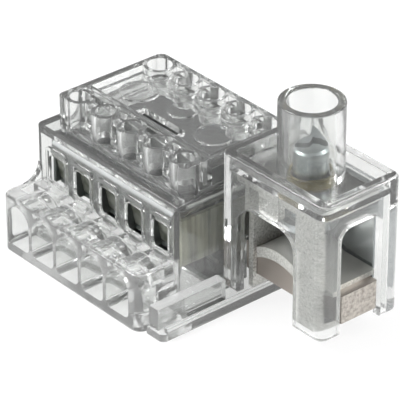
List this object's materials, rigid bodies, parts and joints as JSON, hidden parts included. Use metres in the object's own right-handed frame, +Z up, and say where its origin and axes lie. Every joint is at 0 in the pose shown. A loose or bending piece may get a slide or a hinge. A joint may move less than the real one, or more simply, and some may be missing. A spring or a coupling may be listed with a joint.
{
  "type": "terminal block",
  "caption": "Clear branch terminal block: two rows of push-in wire entries with test wells above, and a screw clamp under a clear cap for the feed wire.",
  "frame": {"origin": "middle of the housing's bottom face", "axes": "+X along the rows towards the clamp, -Y towards the wire entries, +Z up"},
  "size_m": [0.0563, 0.0314, 0.0364],
  "materials": {
    "clear_housing": "clear polycarbonate moulding, glossy, faint grey tint",
    "clear_cover": "clear polycarbonate moulding, glossy, faint grey tint",
    "clear_cap": "clear polycarbonate moulding, glossy, faint grey tint",
    "tinned_copper": "tin plated copper bar, satin, pink copper at the sheared end",
    "rail_metal": "dull tinned copper sheet, grey green seen through the housing",
    "spring_steel": "bare stainless spring strip, satin",
    "zinc_sheet": "zinc plated sheet steel with a spotty crystalline surface",
    "blue_zinc": "bright zinc plated steel, blue passivated"
  },
  "bodies": {
    "terminal": {"housing": "clear_housing", "base_plate": "clear_housing", "cover": "clear_cover", "clamp_cap": "clear_cap", "busbar": "tinned_copper", "lower_rail": "rail_metal", "upper_rail": "rail_metal", "link_plate": "rail_metal", "clamp_frame": "zinc_sheet", "wire_saddle": "zinc_sheet", "lower_spring_1": "spring_steel", "upper_spring_1": "spring_steel", "lower_spring_2": "spring_steel", "upper_spring_2": "spring_steel", "lower_spring_3": "spring_steel", "upper_spring_3": "spring_steel", "lower_spring_4": "spring_steel", "upper_spring_4": "spring_steel", "lower_spring_5": "spring_steel", "upper_spring_5": "spring_steel", "rail_rivet_1": "blue_zinc", "rail_rivet_2": "blue_zinc", "rail_rivet_3": "blue_zinc"},
    "pad": {"pressure_pad": "blue_zinc"},
    "screw": {"clamp_screw": "blue_zinc"}
  },
  "joints": [
    {"name": "pad_slide", "type": "slide", "parent": "terminal", "child": "pad", "axis": [0, 0, -1], "range_m": [-0.003, 0.0026]},
    {"name": "screw_turn", "type": "hinge", "parent": "pad", "child": "screw", "pos_m": [0.0282, 0.0074, 0.025], "axis": [0, 0, -1], "range_deg": [-1080, 936]}
  ],
  "couplings": [
    {"joint": "screw_turn", "follows": "pad_slide", "rad_per_m": 6283.2}
  ]
}
